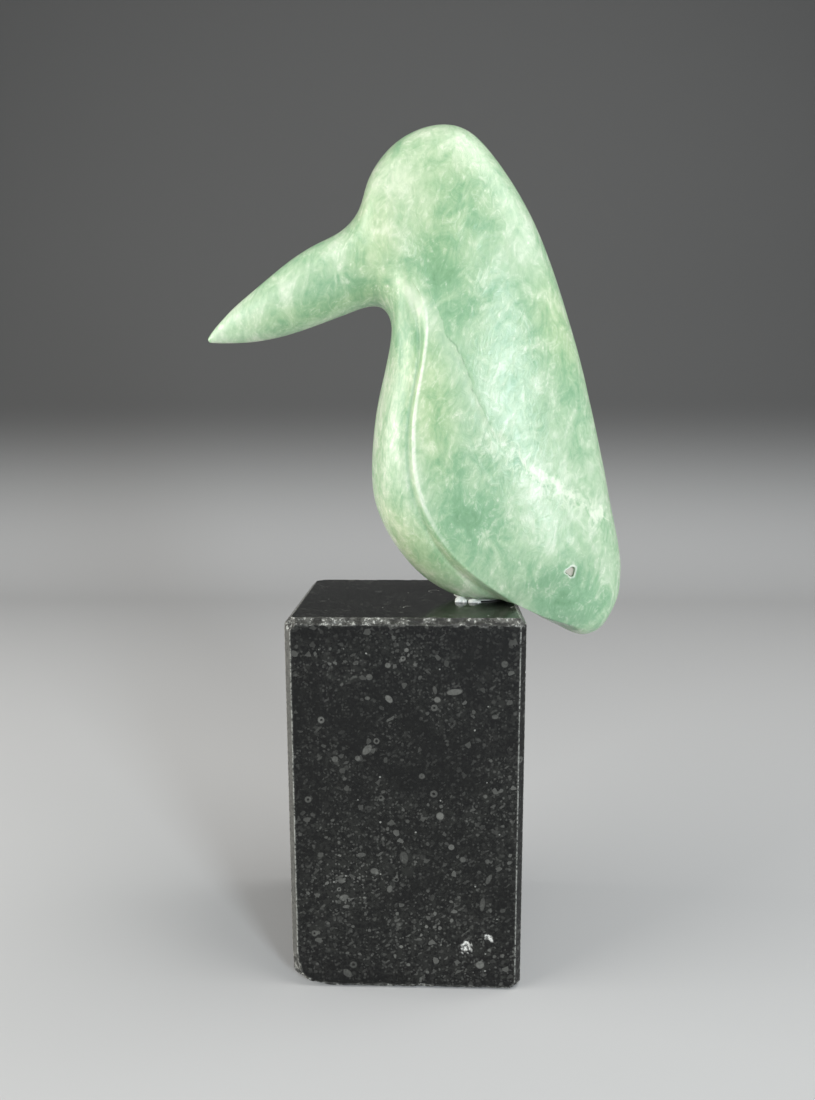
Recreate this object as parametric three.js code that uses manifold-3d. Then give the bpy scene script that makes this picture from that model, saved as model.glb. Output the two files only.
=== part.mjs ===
// A stylised long-beaked bird carved from one piece of green soapstone, glued by its belly to
// a block of polished black fossil limestone.
//
// Millimetres, +Z up. The origin is the middle of the block's underside, the beak points to -X,
// and the bird is the same on both sides of the plane y = 0.
//
// The bird is a ladder of rungs. Each rung runs in the plane y = 0 from the front line (under
// the beak, down the throat, breast and belly, along the underside of the tail) to the back line
// (over the beak, forehead and crown, down the back). A closed section stands on every rung, and
// the sections together are the skin. One line of the skin follows the front edge of the wing.

import * as THREE from "three";
import { ConvexGeometry } from "three/addons/geometries/ConvexGeometry.js";
import { mergeVertices } from "three/addons/utils/BufferGeometryUtils.js";
import Module from "manifold-3d";

const wasm = await Module();
wasm.setup();

// ---- driving dimensions --------------------------------------------------------------------

const PLINTH = { width: 100, depth: 88, height: 166, chamfer: 2.5, footChamfer: 1.2 };

// How far along each of its three edges (X, Y, Z) a corner of the block is broken away.
const CORNER_WEAR = {
  topFrontLeft: [6, 4, 5],
  topFrontRight: [3, 3, 3],
  topBackLeft: [7, 6, 5],
  topBackRight: [3, 3, 3],
  footFrontLeft: [8, 7, 11],
  footFrontRight: [4, 3, 4],
  footBackLeft: [3, 3, 3],
  footBackRight: [3, 4, 3],
};

const GLUE = { thickness: 1, length: 24, width: 20, centreX: 33, sides: 32 };

// Drops of glue that were squeezed out in front of the belly: place, radius and height.
const GLUE_DROPS = [
  { x: 23.8, y: -9.8, radius: 2.7, height: 2.2 },
  { x: 29.5, y: -11.2, radius: 2.4, height: 1.4 },
];

// The rounded ends of the bird: the outline there is an arc about centre, open by the angle
// opening to each side of heading (degrees from +X), and half is the half thickness where the
// arc starts. Heights are above the seat, the flat spot that the bird is glued down by.
const BEAK_TIP = {
  name: "beak arc",
  centre: [-86.8, 114.9],
  radius: 1.5,
  heading: 207,
  opening: 68,
  half: 1.4,
};
const TAIL_TIP = {
  name: "tail arc",
  centre: [79.3, -5.3],
  radius: 12,
  heading: -72,
  opening: 42,
  half: 12.2,
};

// The rungs between those ends. front and back are [x, height above the seat], half is the half
// thickness at the wing's edge, and edge is how far along the rung that edge lies.
const RUNGS = [
  { name: "beak fore", front: [-80, 113.2], back: [-82.6, 122.2], half: 3.4, edge: 4.7 },
  { name: "beak quarter", front: [-70, 113.6], back: [-76.5, 128], half: 5.7, edge: 7.9 },
  { name: "beak middle", front: [-54.5, 116.3], back: [-65, 137.1], half: 9.6, edge: 11.7 },
  { name: "beak root", front: [-26.5, 125.6], back: [-38, 155], half: 14.6, edge: 16 },
  { name: "gape", front: [-17.5, 128.5], back: [-27.1, 160.3], half: 17.6, edge: 18 },
  { name: "throat", front: [-12, 128.4], back: [-20.2, 168], half: 20, edge: 22.5 },
  { name: "brow", front: [-8.8, 125.7], back: [-16.6, 178.3], half: 21.8, edge: 29 },
  { name: "forehead", front: [-7.2, 121.8], back: [-9.2, 190.2], half: 23, edge: 34 },
  { name: "crown front", front: [-6.7, 117.4], back: [4.2, 199.6], half: 23.5, edge: 33 },
  { name: "crown back", front: [-7.2, 112.6], back: [21.9, 201.2], half: 24.1, edge: 27.5 },
  { name: "nape", front: [-8.4, 106.6], back: [36.7, 189.5], half: 24.8, edge: 28.5 },
  { name: "shoulder", front: [-11.2, 94.9], back: [54, 163], half: 26, edge: 28.5 },
  { name: "upper breast", front: [-14.6, 76.8], back: [69, 125.5], half: 27.5, edge: 22 },
  { name: "full breast", front: [-15.9, 58], back: [77.8, 97], half: 28, edge: 20.5 },
  { name: "lower breast", front: [-13.5, 39.4], back: [84.2, 71.5], half: 27.6, edge: 21 },
  { name: "belly", front: [-4.5, 22], back: [88.2, 54.5], half: 26.6, edge: 21 },
  { name: "low belly", front: [8, 8.3], back: [90.9, 41.5], half: 25.4, edge: 20.5 },
  { name: "seat", front: [23.6, 0.2], back: [93.2, 32], half: 24, edge: 16.5 },
  { name: "seat end", front: [37, -0.6], back: [95, 24], half: 22.4, edge: 8.5 },
  { name: "tail root", front: [48.4, -1.2], back: [96.3, 15.5], half: 20.8, edge: 1.5 },
  { name: "tail", front: [58, -7.9], back: [96.3, 7], half: 19, edge: 4.5 },
  { name: "tail end", front: [67.5, -12.9], back: [94.8, -1.5], half: 16.4, edge: 7 },
];

// The wing's front edge. It stands proud of the breast by riseTop up by the throat and by
// riseTop + riseLow over the belly, behind a wall that is wide at the throat, narrow at the
// breast and wide again at the belly, with a groove along its foot and a small lip along its
// crest, and the wing behind it swells by keel to the thickest line of the body.
const WING = {
  riseTop: 1.3,
  riseLow: 4.5,
  wallTop: 5.2,
  wall: 2.1,
  wallLow: 4.6,
  groove: 0.55,
  grooveSpread: 1.4,
  lip: 0.75,
  lipFade: 4.5,
  keel: 3.5,
};

// The shallow hollow behind the cheek, long along its axis (degrees from +X in the plane y = 0).
const CHEEK_HOLLOW = { centre: [11, 139], depth: 1.6, reach: 26, spread: 9, lean: -70.7 };

const RINGS_PER_RUNG = 3;
const SIDE_FACES = 24; // faces of a section on one side, from the front line to the back line
const EDGE_FACES = 9; // how many of them lie in front of the wing's edge

const GREEN_STONE = { color: 0xa9d1ac, roughness: 0.32, metalness: 0 };
const BLACK_LIMESTONE = { color: 0x1b1c1e, roughness: 0.22, metalness: 0 };
const CLEAR_GLUE = { color: 0xe9ebe6, roughness: 0.12, metalness: 0 };

// ---- small tools ---------------------------------------------------------------------------

const { degToRad, lerp, smoothstep } = THREE.MathUtils;

// The natural cubic spline that passes through values at the places in knots.
function naturalSpline(knots, values) {
  const last = values.length - 1;
  const gap = (i) => knots[i + 1] - knots[i];
  const slope = (i) => (values[i + 1] - values[i]) / gap(i);
  const sweep = new Array(last + 1).fill(0);
  const bend = new Array(last + 1).fill(0);
  for (let i = 1; i < last; i++) {
    const pivot = 2 * (gap(i - 1) + gap(i)) - gap(i - 1) * sweep[i - 1];
    sweep[i] = gap(i) / pivot;
    bend[i] = (6 * (slope(i) - slope(i - 1)) - gap(i - 1) * bend[i - 1]) / pivot;
  }
  for (let i = last - 1; i > 0; i--) bend[i] -= sweep[i] * bend[i + 1];
  return (place) => {
    const over = knots.findIndex((knot) => knot > place);
    const i = (over < 0 ? last : Math.max(over, 1)) - 1;
    const b = (place - knots[i]) / gap(i);
    const a = 1 - b;
    const curve = (a ** 3 - a) * bend[i] + (b ** 3 - b) * bend[i + 1];
    return lerp(values[i], values[i + 1], b) + (curve * gap(i) ** 2) / 6;
  };
}

// A closed geometry as a manifold-3d solid, and back.
function solidFrom(geometry) {
  const bare = geometry.clone();
  bare.deleteAttribute("normal");
  bare.deleteAttribute("uv");
  const merged = mergeVertices(bare, 1e-3);
  const vertProperties = merged.attributes.position.array;
  const triVerts = new Uint32Array(merged.index.array);
  return new wasm.Manifold(new wasm.Mesh({ numProp: 3, vertProperties, triVerts }));
}

function geometryFrom(solid) {
  const mesh = solid.getMesh();
  const geometry = new THREE.BufferGeometry();
  geometry.setAttribute("position", new THREE.BufferAttribute(mesh.vertProperties, 3));
  geometry.setIndex(new THREE.BufferAttribute(mesh.triVerts, 1));
  geometry.computeVertexNormals();
  return geometry;
}

// A box between two corners, for cutting.
function boxBetween([x0, y0, z0], [x1, y1, z1]) {
  const box = new THREE.BoxGeometry(x1 - x0, y1 - y0, z1 - z0);
  box.translate((x0 + x1) / 2, (y0 + y1) / 2, (z0 + z1) / 2);
  return solidFrom(box);
}

function pieceOf(name, geometry, finish) {
  const mesh = new THREE.Mesh(geometry, new THREE.MeshStandardMaterial(finish));
  mesh.name = name;
  return mesh;
}

// ---- the bird ------------------------------------------------------------------------------

// A rung across a rounded end, at an angle from the end's heading. The front line is to the
// left of the beak's heading and to the right of the tail's.
function endRung(end, angle, frontSide, edgeShare) {
  const heading = degToRad(end.heading);
  const turn = degToRad(angle) * frontSide;
  const onArc = (direction) => [
    end.centre[0] + end.radius * Math.cos(direction),
    end.centre[1] + end.radius * Math.sin(direction),
  ];
  const length = 2 * end.radius * Math.sin(degToRad(angle));
  return {
    name: end.name,
    front: onArc(heading + turn),
    back: onArc(heading - turn),
    half: (end.half * Math.sin(degToRad(angle))) / Math.sin(degToRad(end.opening)),
    edge: edgeShare * length,
  };
}

const BEAK_EDGE_SHARE = 0.5;
const TAIL_EDGE_SHARE = 0.4;
const beakEnd = [0, 0.5, 1].map((k) => endRung(BEAK_TIP, k * BEAK_TIP.opening, 1, BEAK_EDGE_SHARE));
const tailEnd = [1, 0.75, 0.5, 0.25, 0].map((k) =>
  endRung(TAIL_TIP, k * TAIL_TIP.opening, -1, TAIL_EDGE_SHARE),
);
const ladder = [...beakEnd, ...RUNGS, ...tailEnd];
const lastRung = ladder.length - 1;

// A place on the ladder is the mean length of its front and back lines from the beak's tip.
const knots = [0];
for (let i = 0; i < lastRung; i++) {
  const [low, high] = [ladder[i], ladder[i + 1]];
  const along = (side) => Math.hypot(high[side][0] - low[side][0], high[side][1] - low[side][1]);
  knots.push(knots[i] + (along("front") + along("back")) / 2);
}
const frontX = naturalSpline(knots, ladder.map((rung) => rung.front[0]));
const frontZ = naturalSpline(knots, ladder.map((rung) => rung.front[1]));
const backX = naturalSpline(knots, ladder.map((rung) => rung.back[0]));
const backZ = naturalSpline(knots, ladder.map((rung) => rung.back[1]));
const halfAt = naturalSpline(knots, ladder.map((rung) => rung.half));
const edgeAt = naturalSpline(knots, ladder.map((rung) => rung.edge));

const placeOf = (name) => knots[ladder.findIndex((rung) => rung.name === name)];

// 0 before the rung called from, 1 after the rung called to, and a smooth rise between them.
function ramp(from, to, place) {
  return smoothstep(place, placeOf(from), placeOf(to));
}

// What the wing's edge and the fullness of the section are at a place on the ladder.
function traitsAt(place) {
  const wing = ramp("crown back", "shoulder", place);
  const onTail = ramp("tail", "tail arc", place);
  const rise = WING.riseTop * wing + WING.riseLow * ramp("lower breast", "seat", place);
  const upperWall = lerp(WING.wallTop, WING.wall, ramp("nape", "upper breast", place));
  const headFullness = 1.2 * ramp("beak middle", "brow", place);
  return {
    rise: rise * (1 - onTail),
    wall: lerp(upperWall, WING.wallLow, ramp("full breast", "seat", place)),
    groove: WING.groove * wing * (1 - ramp("low belly", "seat end", place)),
    lip: WING.lip * wing * (1 - ramp("seat", "tail", place)),
    keel: WING.keel * ramp("nape", "full breast", place) * (1 - ramp("low belly", "tail arc", place)),
    keelAt: lerp(0.25, 0.65, ramp("shoulder", "belly", place)),
    fullness: 2 + headFullness - 0.6 * ramp("shoulder", "full breast", place),
  };
}

// Half the thickness of the stone at a distance along a rung.
function halfThickness(traits, distance, length, half, edge) {
  const past = distance - edge;
  if (past < 0) {
    const round = Math.sqrt(1 - (1 - distance / edge) ** 2);
    const breast = Math.max(half - traits.rise, 0.2 * half) * round;
    const foot = Math.min(traits.wall, 0.9 * edge);
    const wall = smoothstep(past, -foot, 0) * Math.min(traits.rise, 1);
    const groove = traits.groove * Math.exp(-(((past + foot) / WING.grooveSpread) ** 2));
    return lerp(breast, half + traits.lip, wall) - groove;
  }
  const share = Math.min(past / (length - edge), 1);
  const short = Math.max(traits.keelAt - share, 0) / traits.keelAt;
  const keel = traits.keel * (1 - short ** 2);
  const lip = traits.lip * Math.exp(-past / WING.lipFade);
  return (half + keel + lip) * Math.sqrt(1 - share ** traits.fullness);
}

// How far along a rung a vertex lies, when it is the given share of the way round one side.
// Vertices crowd at the two round ends and at the wing's edge.
function distanceAlong(share, length, edge) {
  const edgeShare = EDGE_FACES / SIDE_FACES;
  if (share <= edgeShare) {
    const left = 1 - share / edgeShare;
    return edge * (1 - Math.sin((Math.PI / 2) * left ** 1.5));
  }
  const on = (share - edgeShare) / (1 - edgeShare);
  return edge + (length - edge) * Math.sin((Math.PI / 2) * on ** 1.25);
}

function hollowDepth(x, z) {
  const lean = degToRad(CHEEK_HOLLOW.lean);
  const dx = x - CHEEK_HOLLOW.centre[0];
  const dz = z - CHEEK_HOLLOW.centre[1];
  const along = (dx * Math.cos(lean) + dz * Math.sin(lean)) / CHEEK_HOLLOW.reach;
  const across = (dz * Math.cos(lean) - dx * Math.sin(lean)) / CHEEK_HOLLOW.spread;
  return CHEEK_HOLLOW.depth * Math.exp(-(along ** 2) - across ** 2);
}

// A point of the skin: place runs over the rungs from beak to tail, and round runs about the
// section from the front line by the near side (-Y) to the back line and home by the far side.
function skinPoint(place, round) {
  const front = new THREE.Vector2(frontX(place), frontZ(place));
  const back = new THREE.Vector2(backX(place), backZ(place));
  const length = front.distanceTo(back);
  if (length < 1e-6) return new THREE.Vector3(front.x, 0, front.y);
  const edge = edgeAt(place);
  const share = 1 - Math.abs(1 - 2 * round);
  const distance = distanceAlong(share, length, edge);
  const at = front.lerp(back, distance / length);
  const bare = halfThickness(traitsAt(place), distance, length, halfAt(place), edge);
  const half = Math.max(bare - hollowDepth(at.x, at.y) * smoothstep(bare, 4, 16), 0);
  return new THREE.Vector3(at.x, round < 0.5 ? -half : half, at.y);
}

// A sphere's grid of rings and segments, moulded onto the skin and cut flat at the seat.
function carveBird() {
  const sphere = new THREE.SphereGeometry(1, 2 * SIDE_FACES, RINGS_PER_RUNG * lastRung);
  const { position, uv } = sphere.attributes;
  for (let i = 0; i < position.count; i++) {
    const ring = Math.round((1 - uv.getY(i)) * RINGS_PER_RUNG * lastRung);
    const rung = Math.min(Math.floor(ring / RINGS_PER_RUNG), lastRung - 1);
    const place = lerp(knots[rung], knots[rung + 1], ring / RINGS_PER_RUNG - rung);
    const point = skinPoint(place, uv.getX(i));
    position.setXYZ(i, point.x, point.y, point.z);
  }
  const underSeat = boxBetween([5, -40, -10], [47.4, 40, 0]);
  return geometryFrom(solidFrom(sphere).subtract(underSeat));
}

// ---- the block -----------------------------------------------------------------------------

// The points of one broken corner: two on each of its three chamfered edges.
function cornerPoints(signX, signY, atTop, [wearX, wearY, wearZ]) {
  const rim = atTop ? PLINTH.chamfer : PLINTH.footChamfer;
  const side = PLINTH.chamfer;
  const inside = (x, y, z) =>
    new THREE.Vector3(
      signX * (PLINTH.width / 2 - x),
      signY * (PLINTH.depth / 2 - y),
      atTop ? PLINTH.height - z : z,
    );
  return [
    inside(wearX, rim, 0),
    inside(wearX, 0, rim),
    inside(rim, wearY, 0),
    inside(0, wearY, rim),
    inside(side, 0, wearZ),
    inside(0, side, wearZ),
  ];
}

function cutPlinth() {
  return new ConvexGeometry([
    ...cornerPoints(-1, -1, true, CORNER_WEAR.topFrontLeft),
    ...cornerPoints(1, -1, true, CORNER_WEAR.topFrontRight),
    ...cornerPoints(-1, 1, true, CORNER_WEAR.topBackLeft),
    ...cornerPoints(1, 1, true, CORNER_WEAR.topBackRight),
    ...cornerPoints(-1, -1, false, CORNER_WEAR.footFrontLeft),
    ...cornerPoints(1, -1, false, CORNER_WEAR.footFrontRight),
    ...cornerPoints(-1, 1, false, CORNER_WEAR.footBackLeft),
    ...cornerPoints(1, 1, false, CORNER_WEAR.footBackRight),
  ]);
}

// ---- the glue ------------------------------------------------------------------------------

// A thin bed with a wavy rim, and the drops that ran out of it, all cut off at the block's top.
function pourGlue() {
  const bed = new THREE.CylinderGeometry(1, 1, GLUE.thickness, GLUE.sides);
  bed.rotateX(Math.PI / 2);
  bed.translate(0, 0, GLUE.thickness / 2);
  const rim = bed.attributes.position;
  for (let i = 0; i < rim.count; i++) {
    const angle = Math.atan2(rim.getY(i), rim.getX(i));
    const wave = 1 + 0.06 * Math.sin(3 * angle + 1) + 0.04 * Math.sin(5 * angle);
    const x = GLUE.centreX + (rim.getX(i) * wave * GLUE.length) / 2;
    rim.setXYZ(i, x, (rim.getY(i) * wave * GLUE.width) / 2, rim.getZ(i));
  }
  let glue = solidFrom(bed);
  for (const drop of GLUE_DROPS) {
    const bead = new THREE.SphereGeometry(1, 14, 10);
    bead.scale(drop.radius, drop.radius, drop.height);
    bead.translate(drop.x, drop.y, 0);
    glue = glue.add(solidFrom(bead));
  }
  return geometryFrom(glue.subtract(boxBetween([0, -20, -5], [60, 20, 0])));
}

// ---- the carving, put together -------------------------------------------------------------

const carving = new THREE.Group();
carving.add(pieceOf("plinth", cutPlinth(), BLACK_LIMESTONE));

const onPlinth = new THREE.Group();
onPlinth.position.z = PLINTH.height;
onPlinth.add(pieceOf("glue_bed", pourGlue(), CLEAR_GLUE));
carving.add(onPlinth);

const onGlue = new THREE.Group();
onGlue.position.z = GLUE.thickness;
onGlue.add(pieceOf("bird", carveBird(), GREEN_STONE));
onPlinth.add(onGlue);

export default carving;
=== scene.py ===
"""A long-beaked bird carved in green soapstone, on its block of black fossil limestone.

The script gives the carving its visible surfaces, finishes, floor, lights and camera. Sizes in the
classes are millimetres in the frame of the block: +Z up, the origin in the middle of the block's
underside, the beak towards -X. Heights called "above the seat" start at the flat spot that the
bird is glued down by. Meshes are made in metres.

The bird is a ladder of rungs in the plane y = 0, from the front line (under the beak, down the
throat, breast and belly, along the underside of the tail) to the back line (over the beak,
forehead and crown, down the back). A closed section stands on every place of the ladder.
"""

import logging
import math
from collections.abc import Callable
from dataclasses import dataclass, field
from enum import Enum

import bmesh
import bpy
import numpy as np
from mathutils import Matrix, Vector, noise


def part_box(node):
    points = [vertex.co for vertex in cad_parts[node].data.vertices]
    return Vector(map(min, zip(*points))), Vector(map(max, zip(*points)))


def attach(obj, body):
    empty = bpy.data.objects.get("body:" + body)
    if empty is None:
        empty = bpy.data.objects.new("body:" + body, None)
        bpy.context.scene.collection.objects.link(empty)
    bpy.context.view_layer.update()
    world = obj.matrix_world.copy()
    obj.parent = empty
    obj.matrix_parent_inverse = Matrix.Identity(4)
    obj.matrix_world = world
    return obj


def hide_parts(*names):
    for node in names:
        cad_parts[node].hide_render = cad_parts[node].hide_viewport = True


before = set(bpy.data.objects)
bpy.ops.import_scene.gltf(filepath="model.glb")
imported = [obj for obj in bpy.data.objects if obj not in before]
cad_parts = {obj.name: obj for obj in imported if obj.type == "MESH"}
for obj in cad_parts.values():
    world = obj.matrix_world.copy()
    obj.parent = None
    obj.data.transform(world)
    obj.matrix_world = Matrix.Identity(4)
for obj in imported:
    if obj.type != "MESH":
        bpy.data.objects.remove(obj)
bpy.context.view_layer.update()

log = logging.getLogger("soapstone_bird")

MM = 0.001
GLUE_THICKNESS = 1.0  # from the block's top to the bird's seat


# ---- small tools -----------------------------------------------------------------------------


def smoothstep(values: np.ndarray, low: float, high: float) -> np.ndarray:
    """The smooth rise of values from 0 at low to 1 at high."""
    share = np.clip((values - low) / (high - low), 0.0, 1.0)
    return share * share * (3 - 2 * share)


def lerp(a: np.ndarray, b: np.ndarray, share: np.ndarray) -> np.ndarray:
    """The mix of a and b, all a where share is 0."""
    return a + (b - a) * share


def rough_noise(points: np.ndarray, grain: float, octaves: int = 3) -> np.ndarray:
    """Fractal noise at points.

    Args:
        points: Places in millimetres, one row each.
        grain: Size of the largest lumps in millimetres.
        octaves: How many finer layers are added.

    Returns:
        One value for each point, about -1 to 1.
    """
    return np.array([noise.fractal(Vector(p) / grain, 0.9, 2.1, octaves) for p in points])


def leaning(dx: "Places", dz: "Places", lean: float) -> tuple["Places", "Places"]:
    """How far offsets in the plane y = 0 go along a line at lean degrees from +X, and across it.

    Args:
        dx: The offsets along X.
        dz: The offsets along Z.
        lean: The line's angle from +X, in degrees.

    Returns:
        The distances along the line and across it.
    """
    turn = math.radians(lean)
    along = dx * math.cos(turn) + dz * math.sin(turn)
    return along, dz * math.cos(turn) - dx * math.sin(turn)


def coordinates(bm: bmesh.types.BMesh) -> np.ndarray:
    """The places of a bmesh's vertices, one row each."""
    return np.array([vert.co for vert in bm.verts], float)


def place_vertices(bm: bmesh.types.BMesh, points: np.ndarray) -> None:
    """Moves a bmesh's vertices to points."""
    for vert, point in zip(bm.verts, points):
        vert.co = point


def finished_piece(
    name: str, bm: bmesh.types.BMesh, traits: dict[str, np.ndarray]
) -> bpy.types.Object:
    """Makes a shaded object in metres from a bmesh in millimetres.

    Args:
        name: The object's name.
        bm: The shape, which is freed.
        traits: Vertex attributes by name, for the finish.

    Returns:
        The object, linked to the scene.
    """
    bmesh.ops.recalc_face_normals(bm, faces=bm.faces)
    bmesh.ops.scale(bm, vec=(MM, MM, MM), verts=bm.verts)
    mesh = bpy.data.meshes.new(name)
    bm.to_mesh(mesh)
    bm.free()
    mesh.shade_smooth()
    for trait, values in traits.items():
        attribute = mesh.attributes.new(trait, "FLOAT", "POINT")
        attribute.data.foreach_set("value", np.asarray(values, np.float32))
    piece = bpy.data.objects.new(name, mesh)
    bpy.context.scene.collection.objects.link(piece)
    return piece


class NaturalSpline:
    """The natural cubic spline through values at the places in knots."""

    def __init__(self, knots: np.ndarray, values: list[float]) -> None:
        """Solves the spline.

        Args:
            knots: Rising places.
            values: The value at each place.
        """
        self.knots = np.asarray(knots, float)
        self.values = np.asarray(values, float)
        gap = np.diff(self.knots)
        slope = np.diff(self.values) / gap
        size = len(self.knots)
        system = np.eye(size)
        right = np.zeros(size)
        for i in range(1, size - 1):
            system[i, i - 1 : i + 2] = gap[i - 1], 2 * (gap[i - 1] + gap[i]), gap[i]
            right[i] = 6 * (slope[i] - slope[i - 1])
        self.bend = np.linalg.solve(system, right)

    def __call__(self, place: np.ndarray) -> np.ndarray:
        """The spline's value at each place.

        Args:
            place: Places within the knots.

        Returns:
            The values.
        """
        i = np.clip(np.searchsorted(self.knots, place, side="right") - 1, 0, len(self.knots) - 2)
        gap = self.knots[i + 1] - self.knots[i]
        b = (place - self.knots[i]) / gap
        a = 1 - b
        curve = (a**3 - a) * self.bend[i] + (b**3 - b) * self.bend[i + 1]
        return lerp(self.values[i], self.values[i + 1], b) + curve * gap**2 / 6


# ---- shader tools ----------------------------------------------------------------------------


def operation(kind: str) -> Callable[["Signal", "Number"], "Signal"]:
    """A method of Signal that puts it and another number through one kind of Math node.

    Args:
        kind: The Math node's operation.

    Returns:
        The method.
    """

    def method(self: "Signal", other: "Number" = 0.0) -> "Signal":
        """The Math node's result."""
        return self.finish.node("ShaderNodeMath", {"operation": kind}, {0: self, 1: other})

    return method


class Signal:
    """One output of a shader node, in expressions such as 1 - mask * 0.5."""

    def __init__(self, finish: "Finish", socket: bpy.types.NodeSocket) -> None:
        """Keeps the socket and the material that it is in."""
        self.finish = finish
        self.socket = socket

    __add__ = __radd__ = operation("ADD")
    __sub__ = operation("SUBTRACT")
    __mul__ = __rmul__ = operation("MULTIPLY")
    __pow__ = operation("POWER")
    __abs__ = operation("ABSOLUTE")
    most = operation("MAXIMUM")
    least = operation("MINIMUM")

    def __rsub__(self, other: float) -> "Signal":
        """other - self."""
        return self.finish.node("ShaderNodeMath", {"operation": "SUBTRACT"}, {0: other, 1: self})

    def rise(self, low: float, high: float) -> "Signal":
        """0 where self is below low, 1 above high, smooth between; low may be the larger one.

        Args:
            low: Where the rise starts.
            high: Where it ends.

        Returns:
            The mask.
        """
        return self.finish.node(
            "ShaderNodeMapRange",
            {"interpolation_type": "SMOOTHSTEP"},
            {"Value": self, "From Min": low, "From Max": high},
        )


Number = Signal | float
Places = Signal | np.ndarray
Colour = tuple[float, float, float]


class Finish:
    """A material whose nodes are made by expressions."""

    def __init__(self, name: str) -> None:
        """Starts a material with its shader and output.

        Args:
            name: The material's name.
        """
        self.material = bpy.data.materials.new(name)
        self.material.use_nodes = True
        self.tree = self.material.node_tree
        self.shader = self.tree.nodes["Principled BSDF"]

    def node(
        self,
        kind: str,
        settings: dict[str, object] | None = None,
        inputs: dict[str | int, object] | None = None,
        output: str | int = 0,
    ) -> Signal:
        """Adds a node.

        Args:
            kind: The node's type.
            settings: Its properties, set first. "stops" is a ramp's list of (place, colour).
            inputs: Values or signals by socket name or number.
            output: The output that is used.

        Returns:
            The output as a signal.
        """
        made = self.tree.nodes.new(kind)
        for name, value in (settings or {}).items():
            if name == "stops":
                self._set_stops(made, value)
            else:
                setattr(made, name, value)
        for name, value in (inputs or {}).items():
            self.feed(made.inputs[name], value)
        return Signal(self, made.outputs[output])

    @staticmethod
    def _set_stops(ramp: bpy.types.Node, stops: list[tuple[float, Colour]]) -> None:
        """Gives a colour ramp its stops.

        Args:
            ramp: The ramp's node.
            stops: Each stop's place and colour.
        """
        elements = ramp.color_ramp.elements
        while len(elements) < len(stops):
            elements.new(0.5)
        for element, (place, colour) in zip(elements, stops):
            element.position = place
            element.color = (*colour, 1.0)

    def feed(self, socket: bpy.types.NodeSocket, value: object) -> None:
        """Links a signal to a socket, or sets its plain value.

        Args:
            socket: The input.
            value: A signal, a number, a vector or a colour.
        """
        if isinstance(value, Signal):
            self.tree.links.new(value.socket, socket)
        elif isinstance(value, tuple) and socket.type == "RGBA":
            socket.default_value = (*value, 1.0)
        else:
            socket.default_value = value

    def shade(self, **inputs: object) -> None:
        """Sets the shader's sockets, written with underscores for spaces."""
        for name, value in inputs.items():
            self.feed(self.shader.inputs[name.replace("_", " ")], value)

    def millimetres(self) -> Signal:
        """The place on the piece in millimetres.

        Returns:
            The place, a vector.
        """
        place = self.node("ShaderNodeTexCoord", output="Object")
        return self.node(
            "ShaderNodeVectorMath", {"operation": "SCALE"}, {"Vector": place, "Scale": 1 / MM}
        )

    def turned(self, vector: Signal, degrees: Colour, stretch: Colour) -> Signal:
        """A vector turned and then stretched, so that a pattern on it has a direction.

        Args:
            vector: Places.
            degrees: The turn about each axis.
            stretch: How drawn out the pattern is along each turned axis.

        Returns:
            The places for the pattern.
        """
        turn = tuple(math.radians(angle) for angle in degrees)
        return self.node(
            "ShaderNodeMapping",
            {"vector_type": "TEXTURE"},
            {"Vector": vector, "Rotation": turn, "Scale": stretch},
        )

    def noise(
        self,
        vector: Signal,
        grain: float,
        detail: float = 3.0,
        roughness: float = 0.55,
        twist: float = 0.0,
        output: str = "Fac",
    ) -> Signal:
        """Noise with lumps of about grain, from about 0.2 to 0.8, or three such as a "Color"."""
        inputs = {"Vector": vector, "Scale": 1 / grain, "Detail": detail}
        inputs |= {"Roughness": roughness, "Distortion": twist}
        return self.node("ShaderNodeTexNoise", {"noise_dimensions": "3D"}, inputs, output)

    def cells(self, vector: Signal, grain: float, output: str = "Distance") -> Signal:
        """A Voronoi pattern with cells of about grain.

        Args:
            vector: Places.
            grain: The cells' size.
            output: "Distance" from a cell's middle, or a "Color" for each cell.

        Returns:
            The output.
        """
        settings = {"voronoi_dimensions": "3D", "feature": "F1"}
        return self.node(
            "ShaderNodeTexVoronoi", settings, {"Vector": vector, "Scale": 1 / grain}, output
        )

    def parts(self, vector: Signal) -> tuple[Signal, ...]:
        """The three numbers of a vector."""
        first = self.node("ShaderNodeSeparateXYZ", inputs={0: vector})
        return tuple(Signal(self, socket) for socket in first.socket.node.outputs)

    def trait(self, name: str) -> Signal:
        """A vertex attribute of the piece."""
        return self.node("ShaderNodeAttribute", {"attribute_name": name}, output="Fac")

    def blend(self, share: Number, first: object, second: object, kind: str = "MIX") -> Signal:
        """The mix of two colours, all first where share is 0."""
        settings = {"data_type": "RGBA", "blend_type": kind}
        return self.node("ShaderNodeMix", settings, {"Factor": share, 6: first, 7: second}, 2)

    def bumped(self, height: Signal, depth: float, strength: float = 1.0) -> Signal:
        """The normal of a surface with small relief, depth in millimetres.

        Args:
            height: The relief, 1 for a full depth.
            depth: The depth in millimetres.
            strength: How strongly it turns the normal.

        Returns:
            The normal.
        """
        return self.node(
            "ShaderNodeBump",
            inputs={"Height": height, "Distance": depth * MM, "Strength": strength},
        )


# ---- the bird's form -------------------------------------------------------------------------


@dataclass(frozen=True)
class Rung:
    """One rung: its ends as (x, height above the seat), half thickness and wing edge's place."""

    name: str
    front: tuple[float, float]
    back: tuple[float, float]
    half: float
    edge: float


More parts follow.
